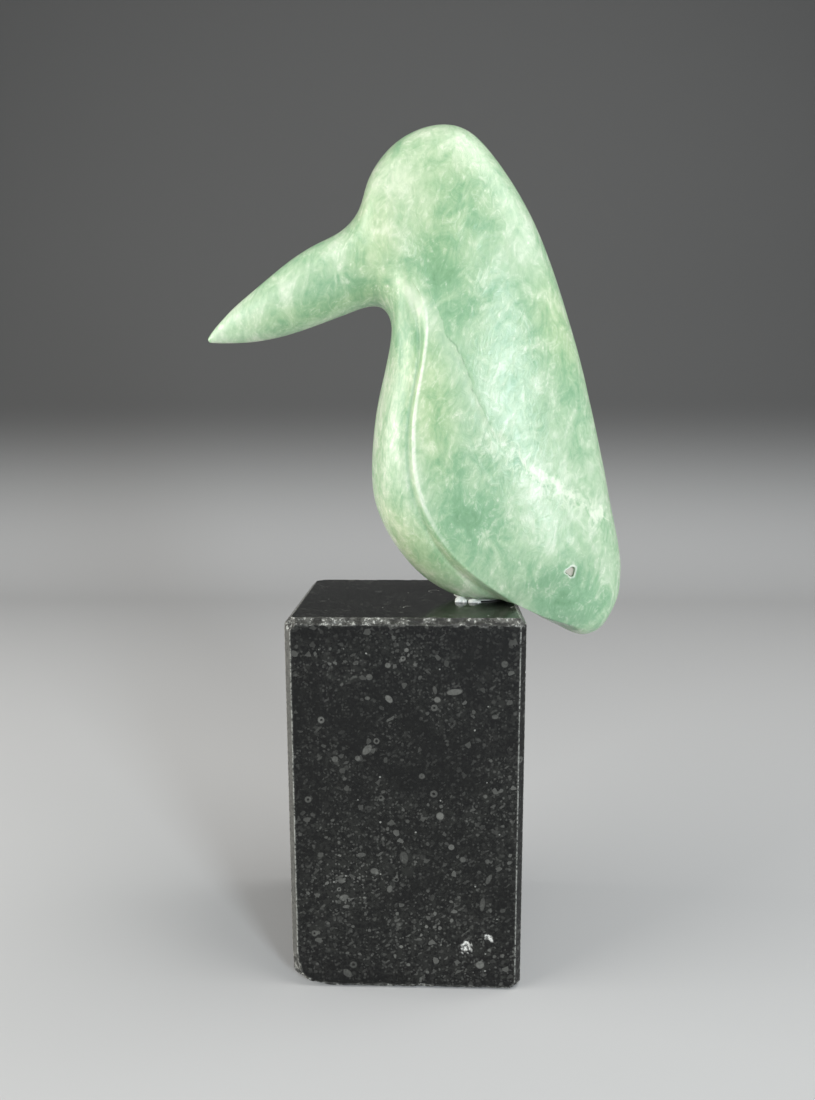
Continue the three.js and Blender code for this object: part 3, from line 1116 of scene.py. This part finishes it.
@dataclass
class Block:
    """The black limestone block, polished on its faces and rough along its edges."""

    low: Vector
    high: Vector
    chamfer: float = 2.5
    foot_chamfer: float = 1.2
    chip_grain: float = 3.2
    chips: tuple[Chip, ...] = (Chip(26.1, 19.8, 3.1, 0.7), Chip(36.0, 24.2, 2.0, 0.9))
    cuts: int = 112
    edge_focus: float = 13.0
    edge_band: float = 5.0
    chip_focus: float = 2.0
    chip_band: float = 7.0
    chip_lines: tuple[tuple[float, ...], ...] = ((29.5,), (), (17.5,))

    def build(self) -> bpy.types.Object:
        """Shapes a finely divided cube by its worn edges and corners.

        Returns:
            The block's object.
        """
        bm = bmesh.new()
        bmesh.ops.create_cube(bm, size=2)
        bmesh.ops.subdivide_edges(bm, edges=bm.edges, cuts=self.cuts, use_grid_fill=True)
        unit = coordinates(bm)
        points = np.stack([self._spread(unit[:, k], k) for k in range(3)], 1)
        honed, broken, rim = (np.zeros(len(points)) for _ in range(3))
        for arris in self._arrises():
            ragged, honed_share, broken_share = arris.wear.value
            normal = np.array(arris.normal)
            over = points @ normal - arris.reach
            close = np.flatnonzero(over > -ragged * 1.5 - 0.5)
            chips = np.zeros(len(points))
            noisy = rough_noise(points[close], self.chip_grain, 4)
            chips[close] = np.maximum(noisy + 0.15, 0)
            over = over + ragged * chips
            points -= np.maximum(over, 0)[:, None] * normal
            cut = smoothstep(over, -0.15, 0.15)
            honed = np.maximum(honed, cut * honed_share)
            broken = np.maximum(broken, cut * broken_share)
            rim = np.maximum(rim, np.exp(-((over / 0.22) ** 2)) * (1 - broken_share))
        traits = {"honed": honed, "broken": broken, "rim": rim, "bruise": self._chip_faces(points)}
        # The crowd trait is fossil density, and along the front's right edge painted reflection.
        traits["crowd"] = coverage(FOSSIL_AND_REFLECTION_PATCHES, points[:, 0], points[:, 2])
        place_vertices(bm, points)
        return finished_piece("limestone_block", bm, traits)

    def _spread(self, share: np.ndarray, axis: int) -> np.ndarray:
        """Moves even grid lines so that they crowd at the edges and at the chips.

        Args:
            share: Grid lines from -1 to 1.
            axis: The axis that they stand on, 0 for X.

        Returns:
            The lines' places.
        """
        low, high = self.low[axis], self.high[axis]
        fine = np.linspace(low, high, 4001)
        crowd = np.ones_like(fine)
        for centre in (low, high):
            crowd += self.edge_focus * np.exp(-(((fine - centre) / self.edge_band) ** 2))
        for centre in self.chip_lines[axis]:
            crowd += self.chip_focus * np.exp(-(((fine - centre) / self.chip_band) ** 2))
        total = np.concatenate([[0], np.cumsum((crowd[1:] + crowd[:-1]) / 2)])
        return np.interp((share + 1) / 2, total / total[-1], fine)

    def _arrises(self) -> list[Arris]:
        """The planes that cut the block's edges, and then its corners.

        Returns:
            The planes, in the order of cutting.
        """
        centre = (self.low + self.high) / 2
        size = (self.high - self.low) / 2

        def plane(legs: tuple[float, ...], signs: tuple[int, ...], wear: Wear) -> Arris:
            """The plane that cuts the given legs off the block's three faces, 0 for none.

            Args:
                legs: What is cut off along each axis.
                signs: Which edge or corner, 0 for an axis that it runs along.
                wear: How the cut is left.

            Returns:
                The plane.
            """
            slope = Vector([sign / leg if leg else 0.0 for leg, sign in zip(legs, signs)])
            normal = slope.normalized()
            corner = sum(normal[k] * (centre[k] + signs[k] * size[k]) for k in range(3))
            return Arris(normal, corner - 1 / slope.length, wear)

        edge, foot = self.chamfer, self.foot_chamfer
        uprights = [
            plane((edge, edge, 0), (-1, -1, 0), Wear.HONED),
            plane((edge, edge, 0), (1, -1, 0), Wear.POLISHED),
            plane((edge, edge, 0), (-1, 1, 0), Wear.HONED),
            plane((edge, edge, 0), (1, 1, 0), Wear.HONED),
        ]
        tops = [
            plane((0, edge, edge), (0, -1, 1), Wear.CHIPPED),
            plane((0, edge, edge), (0, 1, 1), Wear.CHIPPED),
            plane((edge, 0, edge), (-1, 0, 1), Wear.HONED),
            plane((edge, 0, edge), (1, 0, 1), Wear.HONED),
        ]
        feet = [
            plane((0, foot, foot), (0, -1, -1), Wear.CHIPPED),
            plane((0, foot, foot), (0, 1, -1), Wear.CHIPPED),
            plane((foot, 0, foot), (-1, 0, -1), Wear.CHIPPED),
            plane((foot, 0, foot), (1, 0, -1), Wear.CHIPPED),
        ]
        corners = [
            plane((8, 6, 7), (-1, -1, 1), Wear.BROKEN),
            plane((5, 5, 5), (1, -1, 1), Wear.CHIPPED),
            plane((9, 8, 7), (-1, 1, 1), Wear.BROKEN),
            plane((5, 5, 5), (1, 1, 1), Wear.CHIPPED),
            plane((6, 6, 24), (-1, -1, -1), Wear.CHIPPED),
            plane((10, 9, 12), (-1, -1, -1), Wear.CHIPPED),
            plane((18, 13, 5), (-1, -1, -1), Wear.CHIPPED),
            plane((6, 5, 6), (1, -1, -1), Wear.CHIPPED),
            plane((5, 5, 5), (-1, 1, -1), Wear.CHIPPED),
            plane((5, 6, 5), (1, 1, -1), Wear.CHIPPED),
        ]
        return uprights + tops + feet + corners

    def _chip_faces(self, points: np.ndarray) -> np.ndarray:
        """Knocks the crushed chips into the front face.

        Args:
            points: The block's vertices, which are moved.

        Returns:
            How crushed the stone is at each vertex, from 0 to 1.
        """
        bruise = np.zeros(len(points))
        front = points[:, 1] < self.low.y + 0.3
        for chip in self.chips:
            gap = np.hypot(points[:, 0] - chip.x, points[:, 2] - chip.z)
            close = np.flatnonzero(front & (gap < 2 * chip.radius))
            ragged = gap[close] + chip.radius * 0.7 * rough_noise(points[close], 1.6, 3)
            share = 1 - smoothstep(ragged, 0.35 * chip.radius, chip.radius)
            points[close, 1] += chip.depth * share
            bruise[close] = np.maximum(bruise[close], share)
        return bruise


# Where the block's fossils lie denser, as seen from the front. The tall band near the right edge is
# painted reflection: a paler haze of crowded fossils.
FOSSIL_AND_REFLECTION_PATCHES = (
    Patch((-23, 50), (24, 13), 20, 1.6),
    Patch((-8, 150), (22, 14), 0, 0.4),
    Patch((22, 22), (40, 18), 0, 0.6),
    Patch((-10, 20), (46, 16), 0, 0.5),
    # Painted reflection: the paler haze near the front face's right edge.
    Patch((38, 90), (12, 40), 0, 0.35),
    Patch((10, 70), (40, 16), 0, 0.3),
)


@dataclass(frozen=True)
class Scuff:
    """A curved scuff on the top face: the part of a circle where y - x is past start."""

    x: float
    y: float
    radius: float
    start: float
    strength: float


SCUFFS = (
    Scuff(12.0, 13.0, 2.6, -1.0, 0.8),
    Scuff(0.7, -21.5, 2.0, -22.2, 0.5),
    Scuff(47.0, -21.6, 1.5, -69.0, 0.9),
)


@dataclass(frozen=True)
class Fossil:
    """One of the larger fossils in the front face: a disc or a splinter, or a ring if holed."""

    x: float
    z: float
    radius: float
    hole: float = 0.0
    tone: float = 0.6
    slim: float = 1.0
    lean: float = 0.0

    def gap(self, x: Signal, z: Signal) -> Signal:
        """How far places are from the middle, in the fossil's own rounded measure."""
        along, across = leaning(x - self.x, z - self.z, self.lean)
        return (along**2 + (across * self.slim) ** 2) ** 0.5


FOSSILS = (
    Fossil(14.7, 80.6, 1.9, tone=0.9),
    Fossil(-35.1, 122.7, 1.6, 0.35, 0.8),
    Fossil(32.3, 11.8, 2.0, tone=1.0),
    Fossil(-12.0, 113.6, 1.5, 0.45, 0.55),
    Fossil(-20.0, 106.0, 1.3, tone=0.55),
    Fossil(12.0, 90.5, 1.8, 0.4, 0.5),
    Fossil(0.7, 153.0, 1.0, tone=0.9),
    Fossil(19.5, 66.5, 1.5, tone=0.8),
    Fossil(-28.8, 46.4, 1.1, 0.45, 0.9),
    Fossil(41.0, 147.2, 1.6, tone=0.45),
    Fossil(-0.8, 149.3, 1.3, 0.25, 0.7),
    Fossil(-7.0, 146.4, 1.3, tone=0.7),
    Fossil(-16.0, 109.8, 3.0, tone=0.7, slim=1.8, lean=50),
    Fossil(-6.7, 132.0, 2.2, tone=0.9, slim=1.6, lean=-50),
    Fossil(13.4, 131.8, 1.6, tone=0.8, slim=1.2),
    Fossil(12.4, 136.0, 2.0, tone=0.45, slim=2.2, lean=100),
    Fossil(20.5, 135.2, 3.7, tone=0.75, slim=2.5, lean=6),
    Fossil(-15.6, 132.3, 1.2, tone=0.55, slim=1.4),
    Fossil(-20.3, 147.4, 1.5, tone=0.4, slim=1.6, lean=30),
    Fossil(37.4, 124.6, 1.6, tone=0.45, slim=1.4),
    Fossil(-27.6, 50.4, 1.8, tone=0.6, slim=1.3),
    Fossil(-26.7, 42.6, 2.3, tone=0.65, slim=1.5, lean=20),
    Fossil(-25.8, 38.4, 1.7, tone=0.75, slim=2.0, lean=10),
    Fossil(-13.4, 55.1, 2.0, tone=0.65, slim=1.3),
    Fossil(-6.9, 46.9, 1.9, tone=0.65, slim=1.4, lean=80),
    Fossil(-0.7, 61.4, 3.2, tone=0.35, slim=1.6, lean=100),
    Fossil(-18.8, 62.6, 2.1, tone=0.5, slim=2.0),
    Fossil(35.6, 52.0, 2.8, tone=0.45, slim=2.6, lean=65),
    Fossil(33.0, 40.3, 3.6, tone=0.4, slim=3.0, lean=85),
    Fossil(-25.6, 6.7, 2.6, tone=0.45, slim=1.5, lean=-50),
    Fossil(-23.0, 10.9, 1.8, 0.4, 0.4),
    Fossil(-4.0, 51.3, 1.3, 0.45, 0.4),
    Fossil(-10.2, 88.3, 1.5, 0.4, 0.4),
)


@dataclass(frozen=True)
class BlackLimestone:
    """Polished black limestone with pale broken shells, discs and rings of sea lilies."""

    ground: Colour = (0.0035, 0.0036, 0.0036)
    cloud: Colour = (0.017, 0.0175, 0.0155)
    fossil: Colour = (0.16, 0.16, 0.145)
    bright: Colour = (0.60, 0.60, 0.55)
    crushed: Colour = (0.80, 0.79, 0.74)
    honed: Colour = (0.13, 0.128, 0.115)
    dull: Colour = (0.018, 0.017, 0.015)
    disc_grain: float = 13
    ior: float = 1.36
    front: float = -43.5
    top: float = 166.0

    def material(self) -> bpy.types.Material:
        """Builds the stone's nodes.

        Returns:
            The material.
        """
        stone = Finish("black_limestone")
        place = stone.millimetres()
        grit = stone.noise(place, 1.3, 5, 0.72)
        colour = self._add_fossils(stone, place, grit)

        honed, broken = stone.trait("honed"), stone.trait("broken")
        rim, bruise = stone.trait("rim"), stone.trait("bruise")
        lumps = stone.noise(place, 4.5, 4, 0.65)
        sparkle = grit.rise(0.53, 0.6) * lumps.rise(0.42, 0.56)
        colour = stone.blend(honed * (grit.rise(0.3, 0.6) * 0.5 + 0.4), colour, self.honed)
        rough_stone = stone.blend(lumps.rise(0.4, 0.62), self.dull, self.honed)
        rough_stone = stone.blend(sparkle, rough_stone, self.bright)
        colour = stone.blend(broken, colour, rough_stone)
        colour = stone.blend(rim * grit.rise(0.35, 0.6) * 0.6, colour, self.bright)
        crushed = bruise.rise(0.1, 0.7) * (grit.rise(0.42, 0.54) * 0.85 + 0.15)
        colour = stone.blend(crushed, colour, self.crushed)

        matte = broken.most(bruise)
        gloss = 0.13 + (stone.noise(place, 9, 3) - 0.5) * 0.1 + matte * 0.2 + honed * 0.15
        brushed = stone.turned(place, (20, 35, 50), (1, 1, 14))
        scratches = stone.noise(brushed, 0.9, 2).rise(0.62, 0.72)
        relief = grit * (matte * 0.9 + 0.015) - scratches * 0.02
        stone.shade(
            Base_Color=colour,
            Roughness=gloss,
            Normal=stone.bumped(relief, 0.5),
            IOR=self.ior,
        )
        return stone.material

    def _add_fossils(self, stone: Finish, place: Signal, grit: Signal) -> Signal:
        """The polished stone's colour: black, mottled, and full of small fossils.

        Args:
            stone: The material.
            place: Places in millimetres.
            grit: Fine noise.

        Returns:
            The colour.
        """
        wander = stone.noise(place, 2.6, 2.0, 0.5, output="Color")
        bent = stone.node(
            "ShaderNodeVectorMath",
            {"operation": "MULTIPLY_ADD"},
            {0: wander, 1: (1.9, 1.9, 1.9), 2: place},
        )
        clouds = stone.noise(place, 20, 4, 0.6)
        # Crowding is fossil density, and along the front's right edge painted reflection.
        crowd = clouds.rise(0.36, 0.66) * 0.6 + stone.trait("crowd") * 0.7
        mottle = stone.noise(bent, 1.5, 5, 0.75)
        blots = stone.noise(bent, 5.5, 4, 0.65)
        murk = mottle.rise(0.42, 0.64) * (crowd * 1.1 + 0.25)
        murk = murk + blots.rise(0.5, 0.66) * (crowd * 0.8 + 0.1)
        colour = stone.blend(murk.least(1), self.ground, self.cloud)

        def specks(vector: Signal, grain: float, radius: float, share: float) -> Signal:
            """Fossil bits: round cells of a pattern, of which only a share is kept.

            Args:
                vector: Places.
                grain: The cells' size.
                radius: A bit's radius, as a share of the grain.
                share: How many are kept.

            Returns:
                The bits' brightness.
            """
            distance = stone.cells(vector, grain)
            chance, bright, _ = stone.parts(stone.cells(vector, grain, "Color"))
            kept = chance.rise(1 - share, 1 - share + 0.02)
            return distance.rise(radius, radius * 0.66) * kept * (bright * 0.8 + 0.2)

        def shards(vector: Signal, grain: float, share: float) -> Signal:
            """Angular bits: whole cells of a pattern, of which only a share is kept.

            Args:
                vector: Places.
                grain: The cells' size.
                share: How many are kept.

            Returns:
                The bits' brightness.
            """
            chance, bright, _ = stone.parts(stone.cells(vector, grain, "Color"))
            return chance.rise(1 - share, 1 - share + 0.01) * (bright * 0.8 + 0.1)

        sand = specks(bent, 1.3, 0.46, 0.55) * (crowd * 0.6 + 0.12)
        bits = specks(bent, 2.7, 0.36, 0.45) * (crowd * 0.9 + 0.08)
        drawn = stone.turned(bent, (30, 50, 20), (1.0, 1.0, 3.0))
        flakes = specks(drawn, 2.0, 0.32, 0.4) * (crowd * 0.6 + 0.12)
        splinters = shards(place, 1.9, 0.03) * (crowd * 0.5 + 0.3)
        rubble = (sand * 0.6).most(bits * 0.8).most(flakes * 0.7).most(splinters)
        colour = stone.blend(rubble, colour, self.fossil)

        disc_gap = stone.cells(place, self.disc_grain)
        disc_pick, disc_tone, _ = stone.parts(stone.cells(place, self.disc_grain, "Color"))
        disc_gap = disc_gap * (1.75 - disc_tone)
        disc = disc_gap.rise(0.14, 0.105) * disc_pick.rise(0.5, 0.52)
        hole = disc_gap.rise(0.06, 0.035) * disc_tone.rise(0.45, 0.47)
        marks = disc * (1 - hole) * (disc_tone * 0.5 + 0.2)
        x, y, z = stone.parts(place)
        on_front = y.rise(self.front + 0.5, self.front)
        on_top = z.rise(self.top - 0.5, self.top - 0.1)
        for fossil in FOSSILS:
            gap = fossil.gap(x, z) + (grit - 0.5) * 0.9
            mark = gap.rise(fossil.radius, fossil.radius * 0.72) * fossil.tone
            if fossil.hole:
                hole_radius = fossil.radius * fossil.hole
                mark = mark * gap.rise(hole_radius * 0.7, hole_radius * 1.2)
            marks = marks.most(mark * on_front)
        colour = stone.blend(marks * (grit * 1.5 + 0.05), colour, self.fossil)
        glints = specks(place, 5.0, 0.1, 0.22)
        dust = specks(bent, 3.4, 0.09, 0.5) * 0.5
        for scuff in SCUFFS:
            gap = ((x - scuff.x) ** 2 + (y - scuff.y) ** 2) ** 0.5
            circle = abs(gap + (grit - 0.5) * 1.6 - scuff.radius).rise(0.35, 0.1)
            part = (y - x).rise(scuff.start, scuff.start + 1)
            dust = dust.most(circle * part * scuff.strength)
        colour = stone.blend(dust * on_top, colour, self.bright)
        return stone.blend(glints, colour, self.bright)


# ---- the glue --------------------------------------------------------------------------------


@dataclass(frozen=True)
class Drop:
    """A drop of set glue: place, radii along X and Y, and height."""

    x: float
    y: float
    length: float
    width: float
    height: float


@dataclass
class Glue:
    """The thin bed of clear glue under the belly, and the drops that ran out of it."""

    base_height: float
    seat_height: float
    centre: tuple[float, float] = (33.0, 0.0)
    radii: tuple[float, float] = (12.0, 10.0)
    drops: tuple[Drop, ...] = (
        Drop(23.8, -9.8, 2.5, 2.4, 2.5),
        Drop(25.4, -11.0, 1.4, 1.3, 1.6),
        Drop(22.3, -10.9, 1.1, 1.0, 1.1),
        Drop(29.3, -11.0, 2.3, 1.7, 1.6),
        Drop(31.6, -11.4, 1.3, 1.0, 0.8),
    )

    def build(self) -> bpy.types.Object:
        """Presses a flat ball into the bed and adds the drops.

        Returns:
            The glue's object.
        """
        bm = bmesh.new()
        self._add_bed(bm)
        for drop in self.drops:
            self._add_drop(bm, drop)
        bmesh.ops.translate(bm, vec=(0, 0, self.base_height), verts=bm.verts)
        return finished_piece("glue", bm, {})

    def _add_bed(self, bm: bmesh.types.BMesh) -> None:
        """The bed: a disc with a wavy, rounded rim.

        Args:
            bm: The mesh that it is added to.
        """
        thick = self.seat_height - self.base_height
        made = bmesh.ops.create_uvsphere(bm, u_segments=96, v_segments=24, radius=1)
        for vert in made["verts"]:
            angle = math.atan2(vert.co.y, vert.co.x)
            wave = 1 + 0.06 * math.sin(3 * angle + 1) + 0.04 * math.sin(5 * angle)
            lift = max(min(vert.co.z * 1.6, 1), -1)
            vert.co.x = self.centre[0] + vert.co.x * wave * self.radii[0]
            vert.co.y = self.centre[1] + vert.co.y * wave * self.radii[1]
            vert.co.z = thick * (lift + 1) / 2

    def _add_drop(self, bm: bmesh.types.BMesh, drop: Drop) -> None:
        """One drop: a flattened, slightly lumpy ball that meets the block's top.

        Args:
            bm: The mesh that it is added to.
            drop: Its place and size.
        """
        made = bmesh.ops.create_icosphere(bm, subdivisions=4, radius=1)
        for vert in made["verts"]:
            lump = 1 + 0.12 * noise.noise(vert.co * 1.7 + Vector((drop.x, drop.y, 0)))
            vert.co.x = drop.x + vert.co.x * lump * drop.length
            vert.co.y = drop.y + vert.co.y * lump * drop.width
            vert.co.z = max(vert.co.z, 0) * lump * drop.height


@dataclass(frozen=True)
class ClearGlue:
    """Set clear glue, a little milky."""

    tint: Colour = (0.93, 0.95, 0.90)
    clearness: float = 0.22
    ior: float = 1.5

    def material(self) -> bpy.types.Material:
        """Builds the glue's nodes.

        Returns:
            The material.
        """
        glue = Finish("clear_glue")
        place = glue.millimetres()
        glue.shade(
            Base_Color=self.tint,
            Roughness=glue.noise(place, 1.2, 2) * 0.2 + 0.02,
            Normal=glue.bumped(glue.noise(place, 0.9, 3), 0.5),
            Transmission_Weight=self.clearness,
            IOR=self.ior,
        )
        return glue.material


# ---- the studio ------------------------------------------------------------------------------


class Lamp(Enum):
    """The studio's soft lights: place and size in metres, watts and colour."""

    WINDOW = ((0.62, -1.1, 0.46), (0.22, 0.6), 10.2, (0.84, 0.93, 1.0))
    SIDE = ((-1.05, -0.32, 0.48), (1.0, 0.7), 12.3, (1.0, 0.98, 0.94))
    TOP = ((0.65, -0.1, 1.25), (0.9, 0.9), 9.6, (1.0, 0.99, 0.97))


@dataclass
class Studio:
    """The pale floor that sweeps up into a grey wall, the lights and the camera."""

    width: float = 5.0
    front: float = -2.6
    back: float = 0.75
    bend: float = 0.5
    top: float = 2.2
    pale: Colour = (0.56, 0.56, 0.555)
    grey: Colour = (0.115, 0.115, 0.113)
    fade: tuple[float, float] = (0.0, 290.0)
    focal: float = 27.03
    sensor: float = 36.0
    eye: tuple[float, float, float] = (0.0118, -0.3728, 0.2452)
    pitch: float = 8.75
    yaw: float = 1.84
    roll: float = -0.18
    target: tuple[float, float, float] = (0.0, 0.0, 0.2)
    air: Colour = (0.8, 0.82, 0.85)
    air_strength: float = 0.35

    def build(self) -> None:
        """Makes the floor, the lights and the camera."""
        self._lay_floor()
        for lamp in Lamp:
            self._hang(lamp)
        self._set_air()
        self._aim_camera()

    def _lay_floor(self) -> None:
        """The floor and its sweep, from one row of vertices."""
        bm = bmesh.new()
        ends = [bm.verts.new((side * self.width / 2, self.front, 0)) for side in (-1, 1)]
        row = [bm.edges.new(ends)]
        row = self._pull(bm, row, (0, self.back - self.front, 0))
        turned = bmesh.ops.spin(
            bm,
            geom=row + list({vert for edge in row for vert in edge.verts}),
            cent=(0, self.back, self.bend),
            axis=(1, 0, 0),
            angle=math.pi / 2,
            steps=24,
        )
        row = [item for item in turned["geom_last"] if isinstance(item, bmesh.types.BMEdge)]
        self._pull(bm, row, (0, 0, self.top))
        mesh = bpy.data.meshes.new("studio_floor")
        bm.to_mesh(mesh)
        bm.free()
        mesh.shade_smooth()
        floor = bpy.data.objects.new("studio_floor", mesh)
        bpy.context.scene.collection.objects.link(floor)
        paper = Finish("pale_floor")
        height = paper.parts(paper.millimetres())[2]
        colour = paper.blend(height.rise(*self.fade), self.pale, self.grey)
        paper.shade(Base_Color=colour, Roughness=0.85)
        mesh.materials.append(paper.material)

    @staticmethod
    def _pull(bm: bmesh.types.BMesh, row: list, way: tuple[float, float, float]) -> list:
        """Extrudes a row of edges.

        Args:
            bm: The mesh.
            row: The edges.
            way: The move.

        Returns:
            The new row.
        """
        made = bmesh.ops.extrude_edge_only(bm, edges=row)["geom"]
        verts = [item for item in made if isinstance(item, bmesh.types.BMVert)]
        bmesh.ops.translate(bm, vec=way, verts=verts)
        return [edge for edge in made if isinstance(edge, bmesh.types.BMEdge)][:1]

    def _hang(self, lamp: Lamp) -> None:
        """Hangs one soft light and turns it to the carving.

        Args:
            lamp: The light.
        """
        place, size, power, colour = lamp.value
        light = bpy.data.lights.new(lamp.name.lower(), "AREA")
        light.shape = "RECTANGLE"
        light.size, light.size_y = size
        light.energy = power
        light.color = colour
        hung = bpy.data.objects.new(lamp.name.lower(), light)
        bpy.context.scene.collection.objects.link(hung)
        hung.location = place
        towards = Vector(self.target) - Vector(place)
        hung.rotation_euler = towards.to_track_quat("-Z", "Y").to_euler()

    def _set_air(self) -> None:
        """Gives the studio its weak light from all round."""
        world = bpy.data.worlds.new("studio_air")
        world.use_nodes = True
        background = world.node_tree.nodes["Background"]
        background.inputs["Color"].default_value = (*self.air, 1)
        background.inputs["Strength"].default_value = self.air_strength
        bpy.context.scene.world = world
        bpy.context.scene.view_settings.view_transform = "Standard"

    def _aim_camera(self) -> None:
        """Places the camera."""
        camera = bpy.data.cameras.new("camera")
        camera.lens = self.focal
        camera.sensor_width = self.sensor
        camera.clip_start = 0.001
        stand = bpy.data.objects.new("camera", camera)
        bpy.context.scene.collection.objects.link(stand)
        stand.matrix_world = (
            Matrix.Translation(self.eye)
            @ Matrix.Rotation(math.radians(self.yaw), 4, "Z")
            @ Matrix.Rotation(math.radians(90 - self.pitch), 4, "X")
            @ Matrix.Rotation(math.radians(self.roll), 4, "Z")
        )
        bpy.context.scene.camera = stand


# ---- the carving, put together ---------------------------------------------------------------


def mount(piece: bpy.types.Object, node: str, material: bpy.types.Material) -> None:
    """Dresses a piece and lets it stand for its node of the frame.

    Args:
        piece: The finished object.
        node: The frame's node that it replaces.
        material: Its finish.
    """
    piece.data.materials.append(material)
    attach(piece, "root")
    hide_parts(node)
    log.info("%s: %d faces, %s", piece.name, len(piece.data.polygons), material.name)


def main() -> None:
    """Builds the studio and the carving's pieces in order."""
    logging.basicConfig(level=logging.INFO, format="%(name)s: %(message)s")
    Studio().build()
    low, high = (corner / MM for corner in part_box("plinth"))
    seat_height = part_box("glue_bed")[0].z / MM + GLUE_THICKNESS
    mount(Block(low, high).build(), "plinth", BlackLimestone().material())
    mount(Glue(high.z, seat_height).build(), "glue_bed", ClearGlue().material())
    mount(Bird(seat_height).build(), "bird", GreenSoapstone().material())


if __name__ == "__main__":
    main()
